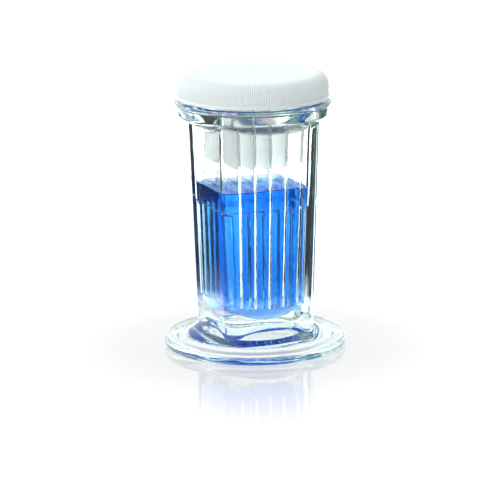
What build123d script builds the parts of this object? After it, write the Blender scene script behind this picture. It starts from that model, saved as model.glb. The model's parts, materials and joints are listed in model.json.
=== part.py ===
from build123d import *
from math import atan, cos, degrees, pi, sin, sqrt
import os

# Slide staining jar: a pressed clear glass jar on a round foot, with ribbed inner walls that hold five
# microscope slides upright and apart in a dye, closed by a white plastic screw cap with a foam liner.
# Millimetres, +Z up. The origin is the centre of the foot, on the bench. The ribs are on the front (-Y)
# and back (+Y) walls, so the slides stand side by side along X.

# ---- glass foot
foot_diameter = 65.0
rim_height = 3.9             # thickness of the rounded rim of the foot
rim_bulge = 1.15             # how far the rim's side bows out
rim_band = 5.5               # width of the raised band round the edge of the foot
valley_height = 3.0          # height of the foot's top where that band begins
boss_radius = 21.6           # round boss under the square tower
boss_height = 6.4            # height of the foot's top where the boss begins
flare_height = 3.7           # rise of the boss's steep side, into the tower
flare_run = 5.6              # how far that side runs inwards
rim_crown = 0.85             # the rim band is this full, half way between its edges (1 is square)
ring_width = 3.0             # flat ring that the foot stands on
hollow_depth = 2.2           # dished underside, at its centre
hollow_edge = 1.1            # height of the bevel round the dished underside

# ---- glass tower, the square part with rounded corners
tower_foot_width = 33.6      # across the flats, where the tower leaves the foot
tower_top_width = 37.9       # across the flats, under the collar
tower_corner = 4.6           # corner radius of its section
tower_base = 3.5             # level of its lowest section, inside the foot
tower_height = 80.5          # length of the tower, up into the collar

# ---- glass collar and neck
neck_radius = 24.5           # outside of the threaded neck
neck_height = 6.6            # height of the neck above the band
collar_ledge = 2.7           # the round band under the cap stands out this much from the neck
collar_bottom = 84.0         # level where the band's side begins
collar_rise = 4.9            # height of the band's side
collar_slope = 0.56          # rise of the collar's underside for each millimetre outwards
collar_round = 0.8           # rounding of the band's lower edge
bead_reach = 0.75            # the thin bead stands out this much from the band
bead_width = 1.3             # height of that bead
bead_drop = 0.35             # from the bead up to the top of the band
bore_radius = 20.4           # round mouth
lip_round = 1.0              # rounding of the mouth's edges

# ---- inside of the jar
slot_count = 5               # slots between the ribs of one wall, one for each slide
slot_pitch_top = 5.72        # from rib to rib, at the top of the ribs
slot_pitch_ledge = 5.27      # from rib to rib, at the ledges
slide_space_top = 27.5       # between the walls behind the ribs, at the top of the ribs
slide_space_ledge = 26.9     # between the walls behind the ribs, at the ledges
rib_depth = 3.6              # how far a rib stands out from its wall
rib_root = 2.3               # width of a rib at its wall
rib_crest = 1.1              # width of a rib at its free edge
rib_top_level = 51.6         # level of the ribs' tops, at the wall
rib_top_drop = 1.1           # fall of a rib's top towards its free edge
ledge_level = 15.8           # the slots end on ledges that carry the slides; level of the middle ones
ledge_arc_radius = 50.0      # the ledges rise to both sides along an arc of this radius
floor_level = 10.2           # lowest point of the dished floor between the ledges
floor_bowl_radius = 27.5     # the floor is part of a ball of this radius
end_wall = 0.5               # from the middle of an end rib to the side wall
upper_ledge_width = 0.25     # the upper walls stand back this much from the lower ones
upper_widening = 0.9         # widening of the upper walls up to the mouth, on each side
upper_corner = 3.1           # corner radius of the inside, above the ribs
lead_corner = 2.2            # corner radius where the ribs' sloping tops meet the walls
lead_inner_corner = 0.9      # corner radius at the lower end of those slopes
mouth_depth = 8.4            # from the mouth down to where the round bore ends
mouth_cone_height = 6.5      # from there down to where the square walls begin to open out
mouth_cone_growth = 4.4      # the mouth's funnel grows this much in radius

# ---- microscope slides
slide_width = 26.0
slide_length = 76.0
slide_thickness = 1.1
slide_rest_gap = 0.05        # from a slide's lower edge to its ledges
slide_shift = -0.35          # from the middle of a slot to the foot of its slide, to the right
slide_top_shift = 0.7        # how much further to the right the slide stands at the ribs' tops

# ---- staining solution
solution_level = 58.1        # level of the liquid
solution_gap = 0.05          # clearance from the jar and the slides all round

# ---- cap
cap_height = 8.7
cap_gap = 0.9                # from the skirt's lower edge to the glass band
thread_room = 1.13           # from the neck to the inside of the skirt, for the screw thread
cap_wall = 1.0               # skirt, under the grip ribs
cap_rim_reach = 0.4          # the plain rim at the skirt's lower edge stands out this much
cap_rim_height = 1.0
cap_rim_slant = 0.3          # the upper edge of that rim slants down this much
shoulder_width = 4.0         # rounding from skirt to top, measured inwards
shoulder_height = 4.6        # rounding from skirt to top, measured down
grip_count = 208
grip_depth = 0.22
gate_radius = 1.6            # small dimple left by the moulding gate, in the centre of the top
gate_depth = 0.15

# ---- liner
liner_thickness = 0.9
liner_overhang = 0.15        # the liner reaches this far past the neck
liner_clearance = 0.2        # from the liner's edge to the cap
seat_gap = 0.15              # from the mouth to the liner, and from the liner to the cap

# ---- levels and radii that follow from the sizes above
foot_radius = foot_diameter / 2
tower_top = tower_base + tower_height
collar_top = collar_bottom + collar_rise
neck_top = collar_top + neck_height
pocket_rib_level = rib_top_level - rib_top_drop
cap_bottom = collar_top + cap_gap
cap_top = cap_bottom + cap_height
liner_bottom = neck_top + seat_gap
cap_ceiling = liner_bottom + liner_thickness + seat_gap
collar_radius = neck_radius + collar_ledge
bead_radius = collar_radius + bead_reach
cap_bore_radius = neck_radius + thread_room
cap_skirt_radius = cap_bore_radius + cap_wall + grip_depth
cap_rim_radius = cap_skirt_radius + cap_rim_reach
liner_radius = neck_radius + liner_overhang
ceiling_radius = liner_radius + liner_clearance


def turned(outline):
    """Turn a closed outline in the XZ plane round the Z axis."""
    return revolve(Plane.XZ * make_face(outline), Axis.Z)


def foot():
    """The round foot with its raised rim band, the boss under the tower and the dished underside."""
    rim_radius = foot_radius - rim_bulge
    band_radius = foot_radius - rim_band
    ring_inner = rim_radius - ring_width
    band_middle = (band_radius + rim_radius) / 2
    band_rise = rim_height - valley_height
    flare_top = boss_height + flare_height
    flare_inner = boss_radius - flare_run
    hollow_radius = ring_inner - hollow_edge
    hollow_middle = hollow_edge + (hollow_depth - hollow_edge) * 0.75
    outline = [
        Line((ring_inner, 0), (rim_radius, 0)),
        ThreePointArc((rim_radius, 0), (foot_radius, rim_height / 2), (rim_radius, rim_height)),
        ThreePointArc((rim_radius, rim_height), (band_middle, valley_height + rim_crown * band_rise),
                      (band_radius, valley_height)),
        Line((band_radius, valley_height), (boss_radius, boss_height)),
        Line((boss_radius, boss_height), (flare_inner, flare_top)),
        Line((flare_inner, flare_top), (0, flare_top)),
        Line((0, flare_top), (0, hollow_depth)),
        ThreePointArc((0, hollow_depth), (hollow_radius / 2, hollow_middle), (hollow_radius, hollow_edge)),
        Line((hollow_radius, hollow_edge), (ring_inner, 0)),
    ]
    return turned(outline)


def square_section(width, depth, corner, level):
    """A rounded rectangle at a level."""
    return Pos(0, 0, level) * RectangleRounded(width, depth, corner)


def tower():
    """The square tower, slightly wider at the top so that it leaves its mould."""
    low = square_section(tower_foot_width, tower_foot_width, tower_corner, tower_base)
    high = square_section(tower_top_width, tower_top_width, tower_corner, tower_top)
    return loft([low, high])


def collar_and_neck():
    """The round band with its bead and sloping underside, and the neck that carries the thread."""
    inner = bore_radius / 2
    underside = collar_bottom - collar_slope * (collar_radius - inner)
    bead_top = collar_top - bead_drop
    bead_bottom = bead_top - bead_width
    round_start = (collar_radius - collar_round, collar_bottom - collar_slope * collar_round)
    round_end = (collar_radius, collar_bottom + collar_round)
    outline = [
        Line((inner, underside), round_start),
        TangentArc(round_start, round_end, tangent=(1, collar_slope)),
        Line(round_end, (collar_radius, bead_bottom)),
        ThreePointArc((collar_radius, bead_bottom), (bead_radius, (bead_bottom + bead_top) / 2),
                      (collar_radius, bead_top)),
        Line((collar_radius, bead_top), (collar_radius, collar_top)),
        Line((collar_radius, collar_top), (neck_radius, collar_top)),
        Line((neck_radius, collar_top), (neck_radius, neck_top)),
        Line((neck_radius, neck_top), (inner, neck_top)),
        Line((inner, neck_top), (inner, underside)),
    ]
    return turned(outline)


def at_level(at_ledge, at_top, level):
    """A size that changes evenly from the ledges to the top of the ribs."""
    return at_ledge + (at_top - at_ledge) * (level - ledge_level) / (rib_top_level - ledge_level)


def half_sizes(level, gap):
    """Half the width, the depth behind the ribs and the depth between the crests, at a level."""
    pitch = at_level(slot_pitch_ledge, slot_pitch_top, level)
    space = at_level(slide_space_ledge, slide_space_top, level)
    return pitch * slot_count / 2 + end_wall - gap, space / 2 - gap, space / 2 - rib_depth - gap


def slot_section(level, gap):
    """The inside between the ribs at a level: a rectangle with a notch for every rib, less a gap."""
    half_width, half_depth, crest_depth = half_sizes(level, gap)
    pitch = at_level(slot_pitch_ledge, slot_pitch_top, level)
    root = rib_root / 2 + gap
    crest = rib_crest / 2 + gap
    places = [pitch * (index - slot_count / 2) for index in range(slot_count + 1)]
    wall = [(-half_width, crest_depth), (places[0] + crest, crest_depth), (places[0] + root, half_depth)]
    for place in places[1:-1]:
        wall += [(place - root, half_depth), (place - crest, crest_depth),
                 (place + crest, crest_depth), (place + root, half_depth)]
    wall += [(places[-1] - root, half_depth), (places[-1] - crest, crest_depth), (half_width, crest_depth)]
    facing = [(-x, -y) for x, y in wall]
    return Pos(0, 0, level) * make_face(Polyline(*wall, *facing, close=True))


def core_section(level, gap):
    """The inside between the crests of the ribs, at a level."""
    half_width, _, crest_depth = half_sizes(level, gap)
    return Pos(0, 0, level) * Rectangle(2 * half_width, 2 * crest_depth)


def ribbed_pocket(gap):
    """The lower inside: the slots down to their arc of ledges, and between them a dished floor."""
    ledge_top = ledge_level + gap
    slots = loft([slot_section(ledge_top, gap), slot_section(rib_top_level + gap, gap)], ruled=True)
    slots &= Pos(0, 0, ledge_level + ledge_arc_radius) * Rot(90, 0, 0) * Cylinder(ledge_arc_radius - gap,
                                                                                 2 * foot_radius)
    core = loft([core_section(floor_level, gap), core_section(rib_top_level, gap)], ruled=True)
    bowl = Pos(0, 0, floor_level + floor_bowl_radius) * Sphere(floor_bowl_radius - gap)
    bowl += Pos(0, 0, floor_level + floor_bowl_radius) * Cylinder(
        floor_bowl_radius - gap, rib_top_level, align=(Align.CENTER, Align.CENTER, Align.MIN))
    return slots + (core & bowl)


def upper_inside(gap):
    """The smooth upper inside: the sloping tops of the ribs, the square shaft and the round mouth."""
    width = slot_pitch_top * slot_count + 2 * end_wall - 2 * gap
    depth = slide_space_top - 2 * gap
    slope_bottom = pocket_rib_level + gap
    slope_top = rib_top_level + gap
    lead_low = square_section(width, depth - 2 * rib_depth, lead_inner_corner, slope_bottom)
    lead_high = square_section(width, depth, lead_corner, slope_top)
    ledge = 2 * upper_ledge_width
    shaft_low = square_section(width + ledge, depth + ledge, upper_corner, slope_top)
    bore_bottom = neck_top - mouth_depth
    growth = ledge + 2 * upper_widening
    shaft_high = square_section(width + growth, depth + growth, upper_corner, bore_bottom)
    funnel = Pos(0, 0, bore_bottom) * Cone(bore_radius - mouth_cone_growth, bore_radius, mouth_cone_height,
                                           align=(Align.CENTER, Align.CENTER, Align.MAX))
    bore = Pos(0, 0, bore_bottom) * Cylinder(bore_radius, mouth_depth + lip_round,
                                             align=(Align.CENTER, Align.CENTER, Align.MIN))
    return loft([lead_low, lead_high]) + loft([shaft_low, shaft_high]) + funnel + bore


def glass_jar():
    """The whole jar, pressed in one piece."""
    jar = foot() + tower() + collar_and_neck()
    jar -= ribbed_pocket(0)
    jar -= upper_inside(0)
    lip = jar.edges().filter_by(GeomType.CIRCLE).filter_by_position(Axis.Z, neck_top, neck_top)
    return fillet(lip, lip_round)


def microscope_slide(index, gap=0):
    """One slide, upright in its slot and leaning a little, with a gap all round."""
    from_middle = index - (slot_count - 1) / 2
    foot_place = from_middle * slot_pitch_ledge + slide_shift
    sideways = from_middle * (slot_pitch_top - slot_pitch_ledge) + slide_top_shift
    lean = degrees(atan(sideways / (rib_top_level - ledge_level)))
    outer_edge = abs(foot_place) + slide_thickness / 2
    ledge_here = ledge_level + ledge_arc_radius - sqrt(ledge_arc_radius ** 2 - outer_edge ** 2)
    plate = Pos(0, 0, -gap) * Box(slide_thickness + 2 * gap, slide_width + 2 * gap, slide_length + 2 * gap,
                                  align=(Align.CENTER, Align.CENTER, Align.MIN))
    return Pos(foot_place, 0, ledge_here + slide_rest_gap) * Rot(0, lean, 0) * plate


def staining_solution():
    """The dye: it fills the inside round the slides, up to its level."""
    below = Pos(0, 0, solution_level) * Cylinder(foot_radius, solution_level,
                                                 align=(Align.CENTER, Align.CENTER, Align.MAX))
    solution = (ribbed_pocket(solution_gap) + upper_inside(solution_gap)) & below
    for index in range(slot_count):
        solution -= microscope_slide(index, solution_gap)
    return solution


def grip_prism():
    """A prism whose section is a ring of points, one for each grip rib."""
    corners = []
    for index in range(2 * grip_count):
        angle = pi * index / grip_count
        reach = cap_skirt_radius if index % 2 else cap_skirt_radius - grip_depth
        corners.append((reach * cos(angle), reach * sin(angle)))
    section = make_face(Polyline(*corners, close=True))
    return Pos(0, 0, cap_bottom) * extrude(section, cap_height)


def screw_cap():
    """The moulded cap: a ribbed skirt with a plain rim, a rounded shoulder and a flat top."""
    edge = cap_skirt_radius - shoulder_width
    shoulder = EllipticalCenterArc((edge, cap_top - shoulder_height), shoulder_width, shoulder_height,
                                   start_angle=0, arc_size=90)
    body = turned([
        Line((0, cap_bottom), (cap_skirt_radius, cap_bottom)),
        Line((cap_skirt_radius, cap_bottom), (cap_skirt_radius, cap_top - shoulder_height)),
        shoulder,
        Line((edge, cap_top), (0, cap_top)),
        Line((0, cap_top), (0, cap_bottom)),
    ])
    cap = body & grip_prism()
    rim_top = cap_bottom + cap_rim_height
    cap += turned([
        Line((cap_bore_radius, cap_bottom), (cap_rim_radius, cap_bottom)),
        Line((cap_rim_radius, cap_bottom), (cap_rim_radius, rim_top - cap_rim_slant)),
        Line((cap_rim_radius, rim_top - cap_rim_slant), (cap_bore_radius, rim_top)),
        Line((cap_bore_radius, rim_top), (cap_bore_radius, cap_bottom)),
    ])
    slant_bottom = cap_top - shoulder_height
    cap -= turned([
        Line((0, cap_bottom), (cap_bore_radius, cap_bottom)),
        Line((cap_bore_radius, cap_bottom), (cap_bore_radius, slant_bottom)),
        Line((cap_bore_radius, slant_bottom), (ceiling_radius, cap_ceiling)),
        Line((ceiling_radius, cap_ceiling), (0, cap_ceiling)),
        Line((0, cap_ceiling), (0, cap_bottom)),
    ])
    cap -= Pos(0, 0, cap_top) * Cylinder(gate_radius, 2 * gate_depth)
    return cap


def cap_liner():
    """The foam disc between the mouth of the jar and the cap."""
    return Pos(0, 0, liner_bottom) * Cylinder(liner_radius, liner_thickness,
                                              align=(Align.CENTER, Align.CENTER, Align.MIN))


os.makedirs("parts", exist_ok=True)
export_step(glass_jar(), "parts/glass_jar.step")
export_step(staining_solution(), "parts/staining_solution.step")
for index in range(slot_count):
    export_step(microscope_slide(index), f"parts/microscope_slide_{index + 1}.step")
export_step(screw_cap(), "parts/screw_cap.step")
export_step(cap_liner(), "parts/cap_liner.step")
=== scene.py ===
import json
import math

import bpy
import numpy as np
from mathutils import Matrix

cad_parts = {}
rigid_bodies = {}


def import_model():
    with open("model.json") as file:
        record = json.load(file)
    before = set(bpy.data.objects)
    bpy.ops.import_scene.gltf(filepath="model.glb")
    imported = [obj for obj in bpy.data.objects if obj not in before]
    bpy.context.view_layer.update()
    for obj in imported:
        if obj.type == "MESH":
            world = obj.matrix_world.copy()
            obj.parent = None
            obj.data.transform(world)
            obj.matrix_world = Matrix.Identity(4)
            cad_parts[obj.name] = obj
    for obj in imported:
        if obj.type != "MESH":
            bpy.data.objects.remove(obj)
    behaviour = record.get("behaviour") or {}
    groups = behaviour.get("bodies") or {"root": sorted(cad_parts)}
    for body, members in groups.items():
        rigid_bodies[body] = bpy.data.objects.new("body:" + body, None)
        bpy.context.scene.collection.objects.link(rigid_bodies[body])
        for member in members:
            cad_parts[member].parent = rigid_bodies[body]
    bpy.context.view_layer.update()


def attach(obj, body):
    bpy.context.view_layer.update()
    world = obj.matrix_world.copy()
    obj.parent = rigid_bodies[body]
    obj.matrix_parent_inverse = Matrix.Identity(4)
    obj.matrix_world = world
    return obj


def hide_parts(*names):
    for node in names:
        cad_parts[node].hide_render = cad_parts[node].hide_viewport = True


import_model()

# ======================================================================================================
# The jar. One piece of clear soda-lime glass, pressed in a mould: a round foot, a square tower whose
# front and back walls carry ribs inside, and a round collar and neck with a raised screw thread.
# ======================================================================================================
MM = 0.001
HOLLOW_TOP = 6.91
RIM_RADIUS, RIM_BULGE, RIM_HALF = 31.35, 1.15, 1.95
VALLEY, BOSS = (27.0, 3.0), (21.6, 6.4)
TOWER_FOOT, TOWER_TOP, TOWER_CORNER = 16.8, 18.95, 4.6
TOWER_BASE, TOWER_END = 3.5, 84.0
COLLAR_RADIUS, COLLAR_TOP, COLLAR_SLOPE = 27.2, 88.9, 0.56
BEAD_LEVEL, BEAD_REACH, BEAD_HALF = 87.9, 0.75, 0.65
NECK_RADIUS, NECK_TOP, BORE_RADIUS = 24.5, 95.5, 20.4
THREAD_PITCH, THREAD_START, THREAD_TURNS = 3.175, 90.75, 1.35
THREAD_HEIGHT, THREAD_WIDTH = 0.7, 0.48
SLOTS = 5
LEDGE, LEDGE_ARC = 15.8, 50.0
RIB_FOOT_PITCH, RIB_TOP_PITCH = 5.27, 5.72
WALL_FOOT, WALL_TOP = 13.45, 13.75
RIB_DEPTH, RIB_ROOT, RIB_CREST = 3.6, 1.15, 0.55
RIB_TOP, RIB_SLOPE = 51.6, 1.1
END_WALL = 0.5
FLOOR, FLOOR_BALL = 10.2, 27.5
SHAFT_STEP, SHAFT_DRAFT, SHAFT_CORNER = 0.25, 0.9, 2.6
MOUTH_BOTTOM, MOUTH_CONE_BOTTOM, MOUTH_CONE = 87.1, 80.6, 16.0


def bent(corner, before, after, reach, count=5):
    """A rounded corner: the quadratic curve from `reach` before the corner to `reach` after it, which
    the corner itself pulls; point t is (1-t)^2 start + 2t(1-t) corner + t^2 end."""
    corner, before, after = (np.array(p, float) for p in (corner, before, after))
    start = corner + reach * (before - corner) / np.linalg.norm(before - corner)
    end = corner + reach * (after - corner) / np.linalg.norm(after - corner)
    t = np.linspace(0, 1, count)[:, None]
    return (1 - t) ** 2 * start + 2 * t * (1 - t) * corner + t ** 2 * end


def rib_columns(gap):
    """The upright lines that a quarter of the inside is drawn along, from the middle of the right wall to
    the middle of the back wall. Each row is (share of the rib pitch, offset across, share of the wall's
    depth, depth of the rib there), so x = share * pitch + offset, y = share * (wall - depth)."""
    root, crest = RIB_ROOT - gap, RIB_CREST - gap
    side = [(2.5, END_WALL + gap, v, RIB_DEPTH) for v in np.linspace(0, 1, 17)[:-1]]
    corner = bent((END_WALL + gap, RIB_DEPTH), (END_WALL + gap, 9), (-9, RIB_DEPTH), 0.5)
    lines = side + [(2.5, x, 1.0, d) for x, d in corner]
    for place in (2.5, 1.5, 0.5):
        right = [bent((root, 0), (9, 0), (crest, RIB_DEPTH), 0.5),
                 bent((crest, RIB_DEPTH), (root, 0), (-9, RIB_DEPTH), 0.3)]
        left = [bent((-crest, RIB_DEPTH), (9, RIB_DEPTH), (-root, 0), 0.3),
                bent((-root, 0), (-crest, RIB_DEPTH), (-9, 0), 0.5)]
        for part in (left if place == 2.5 else right + left):
            lines += [(place, x, 1.0, d) for x, d in part]
        slot_edge, next_edge = -root - 0.5, root + 0.5
        count = 12 if place == 2.5 else 7
        if place > 0.5:
            for w in np.linspace(0, 1, count + 2)[1:-1]:
                lines.append((place - w, slot_edge + w * (next_edge - slot_edge), 1.0, 0.0))
        else:
            for w in (0.25, 0.5, 0.75):
                lines.append((place * (1 - w), slot_edge * (1 - w), 1.0, 0.0))
    return np.array(lines)


def all_round(quarter):
    """A quarter's lines, repeated round the other three quarters by mirroring: columns of
    (share, offset, depth share, depth, sign of x, sign of y), against the clock from the right wall."""
    middle = np.array([[0.0, 0.0, 1.0, 0.0]])
    right_back = np.column_stack([quarter, np.ones(len(quarter)), np.ones(len(quarter))])
    back = np.array([[0.0, 0.0, 1.0, 0.0, 1.0, 1.0]])
    left_back = right_back[::-1].copy()
    left_back[:, 4] = -1
    left_front = right_back[1:].copy()
    left_front[:, 4:] = -1
    front = np.array([[0.0, 0.0, 1.0, 0.0, 1.0, -1.0]])
    right_front = right_back[::-1][:-1].copy()
    right_front[:, 5] = -1
    return np.vstack([right_back, back, left_back, left_front, front, right_front])


def share_up(level):
    """0 at the ledges, 1 at the top of the ribs."""
    return (level - LEDGE) / (RIB_TOP - LEDGE)


def rib_points(lines, level, gap):
    """Where each upright line stands at a level, between the ribs."""
    up = share_up(level)
    pitch = RIB_FOOT_PITCH + up * (RIB_TOP_PITCH - RIB_FOOT_PITCH)
    wall = WALL_FOOT + up * (WALL_TOP - WALL_FOOT) + gap
    x = (lines[:, 0] * pitch + lines[:, 1]) * lines[:, 4]
    y = lines[:, 2] * (wall - lines[:, 3]) * lines[:, 5]
    return x, y


def square_reach(angle, half_x, half_y, corner):
    """Distance from the axis to a rounded rectangle in a direction: the nearer flat side, or in a corner
    the far meeting with the circle of that corner."""
    c, s = np.abs(np.cos(angle)), np.abs(np.sin(angle))
    flat = np.minimum(half_x / np.maximum(c, 1e-9), half_y / np.maximum(s, 1e-9))
    p, q = half_x - corner, half_y - corner
    inside = np.maximum(corner ** 2 - (p * s - q * c) ** 2, 0)
    turned = p * c + q * s + np.sqrt(inside)
    in_corner = (flat * c > p) & (flat * s > q)
    return np.where(in_corner, turned, flat)


def soft_max(a, b, ease):
    """The larger of two distances, eased into a fillet where they are near each other."""
    return (a + b + np.sqrt((a - b) ** 2 + ease ** 2)) / 2


def column_angles(lines):
    """The direction of each upright line above the ribs: as it stands at the ribs' tops, with the lines
    of the end ribs spread evenly round the corners."""
    x, y = rib_points(lines, RIB_TOP, 0.0)
    wall = np.where(lines[:, 3] > 0, WALL_TOP, np.abs(y))
    on_wall = lines[:, 2] == 1.0
    y = np.where(on_wall & (lines[:, 0] < 2.4), wall * lines[:, 5], y)
    angle = np.unwrap(np.arctan2(y, x))
    end_block = (lines[:, 0] >= 2.4) & on_wall
    index = np.arange(len(lines))
    spread = np.interp(index, index[~end_block], angle[~end_block])
    return np.where(end_block, spread, angle)


def inside_rings(lines, angle, gap, top=None):
    """The inside surface, from the middle of the floor up: rings of points, one for each row. gap is how
    far the surface is pushed out into the glass, and top ends it at a level."""
    rings = []
    foot_x, foot_y = rib_points(lines, LEDGE, gap)
    ledge = LEDGE + LEDGE_ARC - np.sqrt(LEDGE_ARC ** 2 - foot_x ** 2) - gap
    core_y = lines[:, 2] * (WALL_FOOT + gap - RIB_DEPTH) * lines[:, 5]

    def bowl(x, y):
        return FLOOR + FLOOR_BALL - np.sqrt((FLOOR_BALL + gap) ** 2 - x ** 2 - y ** 2)

    for s in (0.06, 0.14, 0.24, 0.34, 0.44, 0.54, 0.64, 0.74, 0.83, 0.91, 0.97):
        x, y = s * foot_x, s * core_y
        rings.append((x, y, bowl(x, y)))
    foot = bowl(foot_x, core_y)
    for s in (0.03, 0.5, 0.93):
        rings.append((foot_x, core_y, foot + s * (ledge - 0.3 - foot)))
    slope_bottom = RIB_TOP - RIB_SLOPE - gap
    for s in np.linspace(0, 1, 31):
        level = ledge + s * (slope_bottom - ledge)
        x, y = rib_points(lines, level, gap)
        rings.append((x, y, level))
    x0, y0 = rib_points(lines, slope_bottom, gap)
    reach = square_reach(angle, RIB_TOP_PITCH * 2.5 + END_WALL + gap, WALL_TOP + gap, SHAFT_CORNER)
    for s in (0.33, 0.67, 1.0):
        x = x0 + s * (reach * np.cos(angle) - x0)
        y = y0 + s * (reach * np.sin(angle) - y0)
        rings.append((x, y, slope_bottom + s * RIB_SLOPE + 0 * x))
    levels = np.concatenate([[RIB_TOP + 0.35], np.linspace(52.6, 79.0, 12),
                             np.linspace(80.0, MOUTH_BOTTOM, 12), np.linspace(87.6, 94.5, 5)])
    for level in levels:
        if top is not None and level >= top:
            break
        up = np.clip((level - RIB_TOP) / (MOUTH_BOTTOM - RIB_TOP), 0, 1)
        step = SHAFT_STEP * min(1, (level - RIB_TOP) / 0.35) + SHAFT_DRAFT * up + gap
        square = square_reach(angle, RIB_TOP_PITCH * 2.5 + END_WALL + step, WALL_TOP + step, SHAFT_CORNER)
        cone = MOUTH_CONE + (BORE_RADIUS - MOUTH_CONE) * (level - MOUTH_CONE_BOTTOM) / (
            MOUTH_BOTTOM - MOUTH_CONE_BOTTOM)
        round_reach = np.clip(cone, 0, BORE_RADIUS)
        away = np.clip((level - MOUTH_BOTTOM) / 1.5, 0, 1)
        reach = soft_max(square - 2.5 * away, round_reach + gap, 0.8 * (1 - away) + 0.02)
        rings.append((reach * np.cos(angle), reach * np.sin(angle), level + 0 * angle))
    if top is not None:
        up = (top - RIB_TOP) / (MOUTH_BOTTOM - RIB_TOP)
        step = SHAFT_STEP + SHAFT_DRAFT * up + gap
        reach = square_reach(angle, RIB_TOP_PITCH * 2.5 + END_WALL + step, WALL_TOP + step, SHAFT_CORNER)
        rings.append((reach * np.cos(angle), reach * np.sin(angle), top + 0 * angle))
    return np.array([np.column_stack(r) for r in rings])


def arc_through(start, middle, end, count):
    """Points of a shallow arc, as the parabola through three points of a profile."""
    t = np.linspace(0, 1, count)[:, None]
    start, middle, end = (np.array(p, float) for p in (start, middle, end))
    pull = 2 * middle - (start + end) / 2
    return (1 - t) ** 2 * start + 2 * t * (1 - t) * pull + t ** 2 * end


def outer_profile():
    """The turned outline of the outside, from the middle of the underside to the lip: rows of
    (radius, level, 1 where the square tower may stand out past it)."""
    rows = []

    def add(points, tower=0):
        rows.extend((r, z, tower) for r, z in points)

    # the hollow underside: a shallow dome, a step, a flare, and the ring that the foot stands on
    add(arc_through((1.5, 6.9), (8, 6.85), (13.6, 6.5), 6))
    add(np.linspace((14.2, 6.3), (17.4, 4.35), 5))
    add(arc_through((18.1, 4.05), (23.2, 2.9), (27.0, 0.6), 9))
    add([(27.4, 0.36), (27.9, 0.08), (28.5, 0.0), (29.6, 0.0), (30.9, 0.0)])
    # the rounded rim, the valley inside it, and the boss that the tower's corners grow out of
    swing = np.radians(np.linspace(-84, 84, 15))
    add([(RIM_RADIUS + RIM_BULGE * math.cos(a), RIM_HALF + RIM_HALF * math.sin(a)) for a in swing])
    add(arc_through((31.0, 3.9), (29.2, 3.78), (27.3, 3.12), 8))
    add(bent(VALLEY, (31, 4.0), BOSS, 0.5, 4))
    add(np.linspace((26.0, 3.63), (22.6, 5.77), 7), 1)
    add(bent(BOSS, VALLEY, (16, 10.1), 0.8, 5), 1)
    add(np.linspace((20.6, 7.06), (16.2, 9.97), 14), 1)
    # the square tower alone, then the collar's cone, which stands out past its flats
    levels = np.concatenate([np.linspace(10.4, 15.0, 8), np.linspace(17.0, 68.0, 14)])
    add([(0.0, z) for z in levels], 1)
    add([(COLLAR_RADIUS - (TOWER_END - z) / COLLAR_SLOPE, z) for z in np.linspace(70.0, 83.55, 26)], 1)
    below = (COLLAR_RADIUS - 9, TOWER_END - 9 * COLLAR_SLOPE)
    add(bent((COLLAR_RADIUS, TOWER_END), below, (COLLAR_RADIUS, 99), 0.8, 6))
    add([(COLLAR_RADIUS, z) for z in (85.6, 86.7, 87.1)])
    # the collar's bead and shoulder, and the neck up to its rounded lip
    swing = np.radians(np.linspace(-80, 80, 9))
    add([(COLLAR_RADIUS + BEAD_REACH * math.cos(a), BEAD_LEVEL + BEAD_HALF * math.sin(a)) for a in swing])
    add(bent((COLLAR_RADIUS, COLLAR_TOP), (COLLAR_RADIUS, 80), (20, COLLAR_TOP), 0.3, 4))
    add(bent((NECK_RADIUS, COLLAR_TOP), (30, COLLAR_TOP), (NECK_RADIUS, 99), 0.4, 4))
    add([(NECK_RADIUS, z) for z in np.linspace(89.5, 94.4, 21)])
    add(bent((NECK_RADIUS, NECK_TOP), (NECK_RADIUS, 90), (20, NECK_TOP), 1.0, 7))
    add(bent((BORE_RADIUS, NECK_TOP), (24, NECK_TOP), (BORE_RADIUS, 90), 1.0, 7))
    return np.array(rows)


def thread_height(angle, level, start):
    """A ridge that climbs one pitch in each turn against the clock: its height falls off as a bell curve
    away from the helix, and to nothing at both ends of the thread."""
    turn = (level - start) / THREAD_PITCH - angle / (2 * math.pi)
    nearest = np.round(turn)
    along = nearest + angle / (2 * math.pi)
    ends = np.clip(along / 0.08, 0, 1) * np.clip((THREAD_TURNS - along) / 0.08, 0, 1)
    return ends * np.exp(-(((turn - nearest) * THREAD_PITCH) / THREAD_WIDTH) ** 2)


def outside_rings(angle):
    """The outside surface: each row of the outline turned round, or the square tower where that stands
    out further, with a fillet between the two."""
    rings = []
    whole = angle % (2 * math.pi)
    for radius, level, tower in outer_profile():
        reach = radius + 0 * angle
        if tower:
            half = TOWER_FOOT + (TOWER_TOP - TOWER_FOOT) * (level - TOWER_BASE) / (TOWER_END - TOWER_BASE)
            reach = soft_max(reach, square_reach(angle, half, half, TOWER_CORNER), 1.0)
        elif COLLAR_TOP + 0.5 < level < NECK_TOP - 1.0 and radius > BORE_RADIUS + 2.0:
            reach = reach + THREAD_HEIGHT * thread_height(whole, level, THREAD_START)
        rings.append(np.column_stack([reach * np.cos(angle), reach * np.sin(angle), level + 0 * angle]))
    return np.array(rings)


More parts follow.
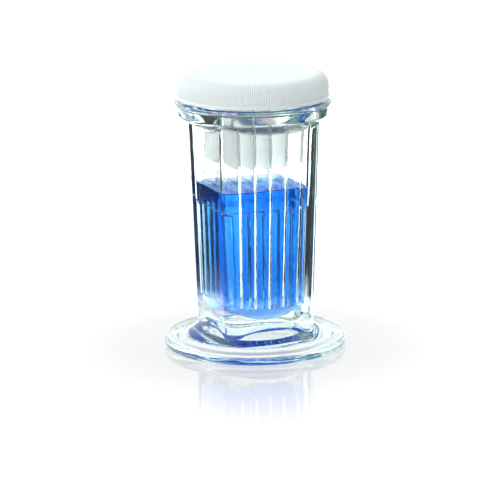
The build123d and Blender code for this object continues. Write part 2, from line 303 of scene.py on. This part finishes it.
def wrapped(name, rings, first, last, crease=35):
    """A closed surface from rings of equally many points (rows by columns by xyz, in millimetres), with
    a point at each end: quads between rings, a fan of triangles at each end."""
    rows, columns = rings.shape[:2]
    points = np.vstack([rings.reshape(-1, 3), [first], [last]]) * MM
    row, column = np.meshgrid(np.arange(rows - 1), np.arange(columns), indexing="ij")
    beside = (column + 1) % columns
    quads = np.stack([row * columns + column, row * columns + beside,
                      (row + 1) * columns + beside, (row + 1) * columns + column], -1).reshape(-1, 4)
    here = np.arange(columns)
    there = (here + 1) % columns
    top = (rows - 1) * columns
    low_fan = np.stack([there, here, np.full(columns, rows * columns)], -1)
    high_fan = np.stack([top + here, top + there, np.full(columns, rows * columns + 1)], -1)
    corners = np.concatenate([quads.ravel(), low_fan.ravel(), high_fan.ravel()])
    sizes = np.concatenate([np.full(len(quads), 4), np.full(2 * columns, 3)])
    mesh = bpy.data.meshes.new(name)
    mesh.vertices.add(len(points))
    mesh.vertices.foreach_set("co", points.ravel())
    mesh.loops.add(len(corners))
    mesh.loops.foreach_set("vertex_index", corners)
    mesh.polygons.add(len(sizes))
    mesh.polygons.foreach_set("loop_start", np.concatenate([[0], np.cumsum(sizes)[:-1]]))
    mesh.polygons.foreach_set("loop_total", sizes)
    mesh.update(calc_edges=True)
    mesh.validate()
    mesh.shade_smooth()
    mesh.set_sharp_from_angle(angle=math.radians(crease))
    piece = bpy.data.objects.new(name, mesh)
    bpy.context.scene.collection.objects.link(piece)
    return piece


def plain_nodes(name):
    """A new material with a Principled shader, and its node tree."""
    material = bpy.data.materials.new(name)
    material.use_nodes = True
    tree = material.node_tree
    return material, tree, tree.nodes["Principled BSDF"]


def pressed_waves():
    """Shader group: the slow, uneven swell of pressed glass, with finer ripples on it, as a height."""
    group = bpy.data.node_groups.new("pressed_waves", "ShaderNodeTree")
    group.interface.new_socket("Swell", in_out="INPUT", socket_type="NodeSocketFloat")
    group.interface.new_socket("Ripple", in_out="INPUT", socket_type="NodeSocketFloat")
    group.interface.new_socket("Height", in_out="OUTPUT", socket_type="NodeSocketFloat")
    nodes, links = group.nodes, group.links
    given, out = nodes.new("NodeGroupInput"), nodes.new("NodeGroupOutput")
    place = nodes.new("ShaderNodeTexCoord")
    heights = []
    for scale, socket in ((140.0, "Swell"), (700.0, "Ripple")):
        noise = nodes.new("ShaderNodeTexNoise")
        noise.inputs["Scale"].default_value = scale
        noise.inputs["Detail"].default_value = 1.0
        links.new(place.outputs["Object"], noise.inputs["Vector"])
        times = nodes.new("ShaderNodeMath")
        times.operation = "MULTIPLY"
        links.new(noise.outputs["Fac"], times.inputs[0])
        links.new(given.outputs[socket], times.inputs[1])
        heights.append(times)
    total = nodes.new("ShaderNodeMath")
    links.new(heights[0].outputs[0], total.inputs[0])
    links.new(heights[1].outputs[0], total.inputs[1])
    links.new(total.outputs[0], out.inputs["Height"])
    return group


waves = pressed_waves()


def glass_material(name, colour, swell, ripple, distance, roughness=0.0):
    """Clear glass whose surface carries the pressed waves as a bump."""
    material, tree, shader = plain_nodes(name)
    shader.inputs["Base Color"].default_value = (*colour, 1)
    shader.inputs["Roughness"].default_value = roughness
    shader.inputs["IOR"].default_value = 1.52
    shader.inputs["Transmission Weight"].default_value = 1.0
    wave = tree.nodes.new("ShaderNodeGroup")
    wave.node_tree = waves
    wave.inputs["Swell"].default_value = swell
    wave.inputs["Ripple"].default_value = ripple
    bump = tree.nodes.new("ShaderNodeBump")
    bump.inputs["Distance"].default_value = distance
    bump.inputs["Strength"].default_value = 1.0
    tree.links.new(wave.outputs["Height"], bump.inputs["Height"])
    tree.links.new(bump.outputs["Normal"], shader.inputs["Normal"])
    return material, tree, shader


lines = all_round(rib_columns(0.0))
angles = column_angles(lines)
outside = outside_rings(angles)
inside = inside_rings(lines, angles, 0.0)
jar = wrapped("jar_glass", np.concatenate([outside, inside[::-1]]), (0, 0, HOLLOW_TOP), (0, 0, FLOOR))
jar_material, jar_tree, _ = glass_material("pressed_glass", (0.97, 0.99, 0.985), 1.0, 0.15, 0.00008)
absorb = jar_tree.nodes.new("ShaderNodeVolumeAbsorption")
absorb.inputs["Color"].default_value = (0.50, 0.71, 0.70, 1)
absorb.inputs["Density"].default_value = 18.0
jar_tree.links.new(absorb.outputs["Volume"], jar_tree.nodes["Material Output"].inputs["Volume"])
jar.data.materials.append(jar_material)
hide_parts("glass_jar")
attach(jar, "jar")

# ======================================================================================================
# The five microscope slides. Plates of clear float glass, 76 by 26 by 1.1 mm, with ground edges; one end
# is frosted for marking with a pencil. They stand upright between the ribs, leaning a little.
# ======================================================================================================
SLIDE_WIDTH, SLIDE_LENGTH, SLIDE_THICK = 26.0, 76.0, 1.1
SLIDE_SHIFT, SLIDE_LEAN, SLIDE_GAP = -0.35, 0.7, 0.05
SLIDE_EDGE, FROST_START = 0.12, 49.8


def slide_place(index):
    """Foot (x, z) of a slide and its lean: sideways travel for each millimetre of height."""
    middle = index - (SLOTS - 1) / 2
    foot = middle * RIB_FOOT_PITCH + SLIDE_SHIFT
    lean = (middle * (RIB_TOP_PITCH - RIB_FOOT_PITCH) + SLIDE_LEAN) / (RIB_TOP - LEDGE)
    outer = abs(foot) + SLIDE_THICK / 2
    level = LEDGE + LEDGE_ARC - math.sqrt(LEDGE_ARC ** 2 - outer ** 2) + SLIDE_GAP
    return foot, level, math.atan(lean)


def plate_rings(index, shrink, longer=0.0):
    """A slide's surface: its section, a rectangle with ground corners, carried along its length, and
    drawn in at both ends by the same grinding."""
    foot, level, lean = slide_place(index)
    thick, wide = SLIDE_THICK / 2 - shrink, SLIDE_WIDTH / 2 - shrink
    edge = max(SLIDE_EDGE - shrink, 0.03)
    section = np.array([(thick, -wide + edge), (thick, wide - edge), (thick - edge, wide),
                        (-thick + edge, wide), (-thick, wide - edge), (-thick, -wide + edge),
                        (-thick + edge, -wide), (thick - edge, -wide)])
    bottom, top = shrink, SLIDE_LENGTH - shrink + longer
    heights = np.concatenate([[bottom], np.linspace(bottom + edge, FROST_START, 8),
                              np.linspace(FROST_START, top - edge, 5)[1:], [top]])
    rings = []
    for row, height in enumerate(heights):
        drawn = edge if row in (0, len(heights) - 1) else 0.0
        across = np.sign(section[:, 0]) * np.maximum(np.abs(section[:, 0]) - drawn, 0.01)
        deep = np.sign(section[:, 1]) * np.maximum(np.abs(section[:, 1]) - drawn, 0.01)
        x = foot + across * math.cos(lean) + height * math.sin(lean)
        z = level + height * math.cos(lean) - across * math.sin(lean)
        rings.append(np.column_stack([x, deep, z]))
    return np.array(rings)


def plate(name, index, shrink=0.0, longer=0.0):
    rings = plate_rings(index, shrink, longer)
    return wrapped(name, rings, rings[0].mean(0), rings[-1].mean(0), crease=20)


clear_slide, _, _ = glass_material("slide_glass", (0.98, 0.995, 0.99), 0.1, 0.0, 0.00001)
frosted_slide, frosted_tree, frosted_shader = plain_nodes("frosted_glass")
frosted_shader.inputs["Base Color"].default_value = (0.93, 0.96, 0.96, 1)
frosted_shader.inputs["Roughness"].default_value = 0.36
frosted_shader.inputs["IOR"].default_value = 1.52
frosted_shader.inputs["Transmission Weight"].default_value = 1.0
grain = frosted_tree.nodes.new("ShaderNodeTexNoise")
grain.inputs["Scale"].default_value = 9000.0
place = frosted_tree.nodes.new("ShaderNodeTexCoord")
frosted_tree.links.new(place.outputs["Object"], grain.inputs["Vector"])
bump = frosted_tree.nodes.new("ShaderNodeBump")
bump.inputs["Distance"].default_value = 0.00001
frosted_tree.links.new(grain.outputs["Fac"], bump.inputs["Height"])
frosted_tree.links.new(bump.outputs["Normal"], frosted_shader.inputs["Normal"])
for index in range(SLOTS):
    slide = plate(f"slide_{index + 1}", index)
    slide.data.materials.append(clear_slide)
    slide.data.materials.append(frosted_slide)
    centres = np.zeros(len(slide.data.polygons) * 3)
    slide.data.polygons.foreach_get("center", centres)
    normals = np.zeros(len(slide.data.polygons) * 3)
    slide.data.polygons.foreach_get("normal", normals)
    start = (slide_place(index)[1] + FROST_START) * MM
    frosted = (centres[2::3] > start) & (normals[::3] < -0.5)
    slide.data.polygons.foreach_set("material_index", frosted.astype(np.int32))
    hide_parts(f"microscope_slide_{index + 1}")
    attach(slide, "jar")

# ======================================================================================================
# The staining solution. A clear blue dye in water, poured in to just above the ribs; its surface climbs
# a little where it wets the glass. It fills the jar round the slides.
# ======================================================================================================
LIQUID_LEVEL, LIQUID_OVERLAP = 58.1, 0.05
CLIMB, CLIMB_WIDTH = 0.8, 1.2


def liquid_rings():
    """The liquid, from the middle of its top outwards, down the walls and in to the middle of the floor.
    The top lies level, plus a climb that fades as exp(-distance / width) from the walls and slides."""
    wall = inside_rings(all_round(rib_columns(LIQUID_OVERLAP)), angles, LIQUID_OVERLAP, LIQUID_LEVEL + CLIMB)
    rim = wall[-1]
    reach = np.hypot(rim[:, 0], rim[:, 1])
    top = []
    for s in (0.04, 0.12, 0.22, 0.32, 0.42, 0.52, 0.6, 0.68, 0.75, 0.81, 0.86, 0.9, 0.93, 0.955, 0.975, 0.99):
        x, y = rim[:, 0] * s, rim[:, 1] * s
        climb = np.exp(-(1 - s) * reach / CLIMB_WIDTH)
        for index in range(SLOTS):
            foot, level, lean = slide_place(index)
            beside = np.abs(x - foot - math.tan(lean) * (LIQUID_LEVEL - level)) - SLIDE_THICK / 2
            past = np.maximum(np.abs(y) - SLIDE_WIDTH / 2, 0)
            climb = np.maximum(climb, np.exp(-np.hypot(np.maximum(beside, 0), past) / CLIMB_WIDTH))
        top.append(np.column_stack([x, y, LIQUID_LEVEL + CLIMB * climb]))
    return np.concatenate([wall, np.array(top)[::-1]])


liquid = wrapped("dye_solution", liquid_rings(), (0, 0, FLOOR - LIQUID_OVERLAP),
                 (0, 0, LIQUID_LEVEL + CLIMB * 0.8))
for index in range(SLOTS):
    cutter = plate(f"cut_{index}", index, LIQUID_OVERLAP)
    cut = liquid.modifiers.new(f"slide_{index + 1}", "BOOLEAN")
    cut.operation = "DIFFERENCE"
    cut.solver = "EXACT"
    cut.object = cutter
bpy.context.view_layer.update()
wet = bpy.data.meshes.new_from_object(liquid.evaluated_get(bpy.context.evaluated_depsgraph_get()))
liquid.modifiers.clear()
liquid.data = wet
wet.shade_smooth()
wet.set_sharp_from_angle(angle=math.radians(35))
for index in range(SLOTS):
    bpy.data.objects.remove(bpy.data.objects[f"cut_{index}"])
dye, dye_tree, dye_shader = plain_nodes("dye")
dye_shader.inputs["Base Color"].default_value = (1, 1, 1, 1)
dye_shader.inputs["Roughness"].default_value = 0.0
dye_shader.inputs["IOR"].default_value = 1.333
dye_shader.inputs["Transmission Weight"].default_value = 1.0
absorb = dye_tree.nodes.new("ShaderNodeVolumeAbsorption")
absorb.inputs["Color"].default_value = (0.0, 0.62, 0.99, 1)
absorb.inputs["Density"].default_value = 150.0
dye_tree.links.new(absorb.outputs["Volume"], dye_tree.nodes["Material Output"].inputs["Volume"])
liquid.data.materials.clear()
liquid.data.materials.append(dye)
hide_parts("staining_solution")
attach(liquid, "jar")

# ======================================================================================================
# The liner. A loose disc of white closed-cell foam between the mouth of the jar and the cap.
# ======================================================================================================
LINER_RADIUS, LINER_BOTTOM, LINER_THICK = 24.65, 95.65, 0.9


def liner_rings():
    """The disc's outline turned round: flat faces with rounded edges, and the shallow ring that the
    mouth of the jar has pressed into its underside."""
    top = LINER_BOTTOM + LINER_THICK
    low = [(r, LINER_BOTTOM + 0.12 * math.exp(-((r - 22.4) / 1.6) ** 4)) for r in np.linspace(2, 24.3, 24)]
    edge = bent((LINER_RADIUS, LINER_BOTTOM), (20, LINER_BOTTOM), (LINER_RADIUS, 99), 0.3, 5)
    edge_top = bent((LINER_RADIUS, top), (LINER_RADIUS, 90), (20, top), 0.3, 5)
    high = [(r, top) for r in np.linspace(23.5, 2, 6)]
    profile = np.array(low + [tuple(p) for p in edge] + [tuple(p) for p in edge_top] + high)
    angle = np.linspace(0, 2 * math.pi, 161)[:-1]
    return np.stack([np.column_stack([r * np.cos(angle), r * np.sin(angle), z + 0 * angle])
                     for r, z in profile])


liner = wrapped("foam_liner", liner_rings(), (0, 0, LINER_BOTTOM), (0, 0, LINER_BOTTOM + LINER_THICK))
foam, foam_tree, foam_shader = plain_nodes("liner_foam")
foam_shader.inputs["Base Color"].default_value = (0.86, 0.86, 0.84, 1)
foam_shader.inputs["Roughness"].default_value = 0.75
cells = foam_tree.nodes.new("ShaderNodeTexVoronoi")
cells.inputs["Scale"].default_value = 2600.0
place = foam_tree.nodes.new("ShaderNodeTexCoord")
foam_tree.links.new(place.outputs["Object"], cells.inputs["Vector"])
bump = foam_tree.nodes.new("ShaderNodeBump")
bump.inputs["Distance"].default_value = 0.00006
foam_tree.links.new(cells.outputs["Distance"], bump.inputs["Height"])
foam_tree.links.new(bump.outputs["Normal"], foam_shader.inputs["Normal"])
liner.data.materials.append(foam)
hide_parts("cap_liner")
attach(liner, "liner")

# ======================================================================================================
# The cap. Moulded in one piece of white polypropylene: fine grip ribs run up the skirt and over the
# rounded shoulder to the flat top, and a thread inside turns on the neck.
# ======================================================================================================
CAP_BOTTOM, CAP_TOP = 89.8, 98.5
SKIRT_RADIUS, CAP_RIM, CAP_BORE, CEILING = 26.85, 27.25, 25.63, 96.7
SHOULDER_WIDE, SHOULDER_HIGH = 4.0, 4.6
GRIPS, GRIP_DEPTH = 208, 0.24
CAP_COLUMNS = GRIPS * 6
GATE_DIMPLE, CAP_THREAD_HEIGHT = 0.15, 0.78


def cap_rings():
    """The cap's outline turned round, from the middle of the ceiling down the inside, round the rim, up
    the skirt and over the shoulder. A row's depth of grip g cuts grooves of half-cosine section g deep;
    the inner wall carries the thread's bell-shaped ridge, half a pitch away from the neck's."""
    edge = SKIRT_RADIUS - SHOULDER_WIDE
    rows = [(r, CEILING, 0, 0) for r in (1.5, 8, 16, 22, 24.3)]
    rows += [(24.85, 96.6, 0, 0), (25.2, 95.4, 0, 0)]
    rows += [(CAP_BORE, z, 0, 1) for z in np.linspace(94.2, 90.3, 20)]
    rows += [(CAP_BORE + 0.1, 90.0, 0, 0), (CAP_BORE + 0.3, CAP_BOTTOM, 0, 0), (26.5, CAP_BOTTOM, 0, 0)]
    rows += [(r, z, 0, 0) for r, z in bent((CAP_RIM, CAP_BOTTOM), (20, CAP_BOTTOM), (CAP_RIM, 99), 0.2, 4)]
    rows += [(r, z, 0, 0) for r, z in bent((CAP_RIM, 90.6), (CAP_RIM, 80), (26.6, 90.9), 0.2, 4)]
    rows += [(SKIRT_RADIUS - 0.12, 90.85, 0.0, 0), (SKIRT_RADIUS, 91.0, 1, 0)]
    rows += [(SKIRT_RADIUS, z, 1, 0) for z in (91.6, 92.4, 93.2)]
    swing = np.radians(np.linspace(0, 88, 18))
    rows += [(edge + SHOULDER_WIDE * math.cos(a), CAP_TOP - SHOULDER_HIGH + SHOULDER_HIGH * math.sin(a),
              1 - (a / swing[-1]) ** 6, 0) for a in swing]
    crown = ((22.2, 0), (18, 0.03), (10, 0.06), (3, 0.06), (1.7, 0.06), (1.5, 0.13), (0.8, GATE_DIMPLE))
    rows += [(r, CAP_TOP - drop, 0, 0) for r, drop in crown]
    rows = np.array(rows)
    angle = np.linspace(0, 2 * math.pi, CAP_COLUMNS + 1)[:-1]
    groove = (0.5 - 0.5 * np.cos(GRIPS * angle)) ** 2
    slope = np.gradient(rows[:, :2], axis=0)
    out = np.column_stack([slope[:, 1], -slope[:, 0]]) / np.maximum(np.hypot(*slope.T), 1e-9)[:, None]
    rings = []
    for (radius, level, grip, thread), normal in zip(rows, out):
        deep = GRIP_DEPTH * grip * groove
        reach = radius - normal[0] * deep
        if thread:
            ridge = thread_height(angle, level, THREAD_START - THREAD_PITCH / 2)
            reach = radius - CAP_THREAD_HEIGHT * ridge
        height = level - normal[1] * deep
        rings.append(np.column_stack([reach * np.cos(angle), reach * np.sin(angle), height]))
    return np.array(rings)


cap = wrapped("cap_white", cap_rings(), (0, 0, CEILING), (0, 0, CAP_TOP - GATE_DIMPLE), crease=50)
plastic, plastic_tree, plastic_shader = plain_nodes("white_plastic")
plastic_shader.inputs["Base Color"].default_value = (0.84, 0.88, 0.88, 1)
plastic_shader.inputs["Roughness"].default_value = 0.34
plastic_shader.inputs["Subsurface Weight"].default_value = 0.25
plastic_shader.inputs["Subsurface Radius"].default_value = (1.0, 0.95, 0.9)
plastic_shader.inputs["Subsurface Scale"].default_value = 0.0012
wave = plastic_tree.nodes.new("ShaderNodeGroup")
wave.node_tree = waves
wave.inputs["Swell"].default_value = 1.0
wave.inputs["Ripple"].default_value = 0.3
bump = plastic_tree.nodes.new("ShaderNodeBump")
bump.inputs["Distance"].default_value = 0.00003
plastic_tree.links.new(wave.outputs["Height"], bump.inputs["Height"])
plastic_tree.links.new(bump.outputs["Normal"], plastic_shader.inputs["Normal"])
cap.data.materials.append(plastic)
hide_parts("screw_cap")
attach(cap, "cap")

# ======================================================================================================
# The bench, the light and the camera. A polished white sheet that glows, which is painted light: rays other
# than the camera's see it glow in a wedge behind the jar and a ring round it, and the camera sees it glow
# white with painted shade near the foot. Soft light comes mostly from the left and from behind the jar; the
# camera stands a metre away, a little above the cap.
# ======================================================================================================
BENCH = 6.0
VIEW_TURN, VIEW_RISE, VIEW_ROLL = math.radians(21.8), math.radians(13.26), math.radians(-0.627)
VIEW_AIM, VIEW_DISTANCE, LENS = (-1.58, 0, 34.17), 1.0, 201.204


def turned_to_row(x, y, z):
    """A direction or place given from the camera's side (right, away, up), in the row frame."""
    c, s = math.cos(VIEW_TURN), math.sin(VIEW_TURN)
    return np.array([x * c + y * s, -x * s + y * c, z])


def eased(tree, source, start, end, low, high):
    """Shader value that runs smoothly from low to high as its source runs from start to end."""
    step = tree.nodes.new("ShaderNodeMapRange")
    step.interpolation_type = "SMOOTHSTEP"
    step.inputs["From Min"].default_value = start
    step.inputs["From Max"].default_value = end
    step.inputs["To Min"].default_value = low
    step.inputs["To Max"].default_value = high
    tree.links.new(source, step.inputs["Value"])
    return step.outputs["Result"]


def reckoned(tree, operation, first, second):
    """Shader value: one operation on two values, each a socket or a number."""
    node = tree.nodes.new("ShaderNodeMath")
    node.operation = operation
    for socket, given in zip(node.inputs, (first, second)):
        if isinstance(given, (int, float)):
            socket.default_value = given
        else:
            tree.links.new(given, socket)
    return node.outputs[0]


def from_camera_side(tree, source):
    """A vector's three parts, to the right, away and up as seen from the camera."""
    turn = tree.nodes.new("ShaderNodeMapping")
    turn.inputs["Rotation"].default_value = (0, 0, VIEW_TURN)
    tree.links.new(source, turn.inputs["Vector"])
    parts = tree.nodes.new("ShaderNodeSeparateXYZ")
    tree.links.new(turn.outputs["Vector"], parts.inputs["Vector"])
    return parts.outputs["X"], parts.outputs["Y"], parts.outputs["Z"]


bench_mesh = bpy.data.meshes.new("bench")
bench_mesh.from_pydata([(x, y, -0.0001) for x, y in ((-BENCH, -BENCH), (BENCH, -BENCH), (BENCH, BENCH),
                                                     (-BENCH, BENCH))], [], [(0, 1, 2, 3)])
bench = bpy.data.objects.new("bench", bench_mesh)
bpy.context.scene.collection.objects.link(bench)
sheet, sheet_tree, sheet_shader = plain_nodes("glowing_white_sheet")
# the sheet's own colour is near black: all of its white is its glow, painted light
sheet_shader.inputs["Base Color"].default_value = (0.03, 0.03, 0.03, 1)
sheet_shader.inputs["Roughness"].default_value = 0.05
sheet_shader.inputs["Emission Color"].default_value = (1, 1, 1, 1)
place = sheet_tree.nodes.new("ShaderNodeTexCoord")
across, away, _ = from_camera_side(sheet_tree, place.outputs["Object"])
distance = sheet_tree.nodes.new("ShaderNodeVectorMath")
distance.operation = "LENGTH"
sheet_tree.links.new(place.outputs["Object"], distance.inputs[0])
fade = distance.outputs["Value"]
# painted light: the sheet glows, for rays other than the camera's, in a bright wedge behind the jar and a
# bright ring round it, which light the glass and plastic; under the foot it glows dimmer, painted shade
beside = reckoned(sheet_tree, "ABSOLUTE", across, 0)
sideways = reckoned(sheet_tree, "DIVIDE", beside, reckoned(sheet_tree, "MAXIMUM", away, 0.01))
painted_glow = eased(sheet_tree, sideways, 0.6, 0.85, 1.0, 0.0)
painted_glow = reckoned(sheet_tree, "MULTIPLY", painted_glow, eased(sheet_tree, away, 0.05, 0.24, 1.2, 2.4))
painted_glow = reckoned(sheet_tree, "MULTIPLY", painted_glow, eased(sheet_tree, away, 0.03, 0.05, 0.0, 1.0))
ring = reckoned(sheet_tree, "MULTIPLY", eased(sheet_tree, fade, 0.038, 0.055, 0.5, 1.6),
                eased(sheet_tree, fade, 0.07, 0.088, 1.0, 0.03))
painted_glow = reckoned(sheet_tree, "MAXIMUM", painted_glow, ring)
# matt surfaces get soft light from the whole sheet, which glows evenly for them: painted light
path = sheet_tree.nodes.new("ShaderNodeLightPath")
soft = reckoned(sheet_tree, "MULTIPLY", path.outputs["Is Diffuse Ray"], 0.85)
painted_glow = reckoned(sheet_tree, "MAXIMUM", painted_glow, soft)
# looked at directly, it glows white, a little darker near the foot, which is painted shade, with a mirror
# image that fades out
mirror = eased(sheet_tree, fade, 0.035, 0.13, 0.5, 0.0)
sheet_tree.links.new(mirror, sheet_shader.inputs["Specular IOR Level"])
# painted shade: the glow the camera sees is weaker near the foot
glow_shaded_near_foot = eased(sheet_tree, fade, 0.035, 0.13, 0.52, 0.86)
seen = reckoned(sheet_tree, "MULTIPLY", path.outputs["Is Camera Ray"], glow_shaded_near_foot)
hidden = reckoned(sheet_tree, "SUBTRACT", 1.0, path.outputs["Is Camera Ray"])
glow = reckoned(sheet_tree, "ADD", reckoned(sheet_tree, "MULTIPLY", painted_glow, hidden), seen)
sheet_tree.links.new(glow, sheet_shader.inputs["Emission Strength"])
bench_mesh.materials.append(sheet)

world = bpy.data.worlds.new("studio")
bpy.context.scene.world = world
world.use_nodes = True
sky_tree = world.node_tree
sky = sky_tree.nodes["Background"]
place = sky_tree.nodes.new("ShaderNodeTexCoord")
across, away, above = from_camera_side(sky_tree, place.outputs["Generated"])
light = eased(sky_tree, away, 0.1, 0.5, 0.12, 1.0)
from_above = eased(sky_tree, above, 0.25, 0.55, 0.0, 0.7)
from_left = eased(sky_tree, across, -0.05, -0.6, 0.0, 1.4)
from_right = eased(sky_tree, across, 0.5, 0.9, 0.0, 0.1)
from_front = eased(sky_tree, away, -0.3, -0.8, 0.0, 0.8)
for part in (from_above, from_left, from_right, from_front):
    light = reckoned(sky_tree, "MAXIMUM", light, part)
path = sky_tree.nodes.new("ShaderNodeLightPath")
light = reckoned(sky_tree, "MAXIMUM", light, path.outputs["Is Camera Ray"])
sky_tree.links.new(light, sky.inputs["Strength"])
sky.inputs["Color"].default_value = (0.95, 0.99, 1.0, 1)

back = turned_to_row(0, -math.cos(VIEW_RISE), math.sin(VIEW_RISE))
level_right = turned_to_row(1, 0, 0)
level_up = np.cross(back, level_right)
right = math.cos(VIEW_ROLL) * level_right + math.sin(VIEW_ROLL) * level_up
up = -math.sin(VIEW_ROLL) * level_right + math.cos(VIEW_ROLL) * level_up
aim = turned_to_row(*VIEW_AIM) * MM
lens = bpy.data.cameras.new("camera")
camera = bpy.data.objects.new("camera", lens)
bpy.context.scene.collection.objects.link(camera)
stand = aim + back * VIEW_DISTANCE
matrix = np.eye(4)
matrix[:3, 0], matrix[:3, 1], matrix[:3, 2], matrix[:3, 3] = right, up, back, stand
camera.matrix_world = Matrix(matrix.tolist())
lens.lens = LENS
lens.clip_start, lens.clip_end = 0.05, 20
bpy.context.scene.camera = camera

scene = bpy.context.scene
scene.view_settings.view_transform = "Standard"
scene.view_settings.look = "Medium High Contrast"
scene.cycles.max_bounces = 64
scene.cycles.transmission_bounces = 48
scene.cycles.glossy_bounces = 24
scene.cycles.transparent_max_bounces = 16
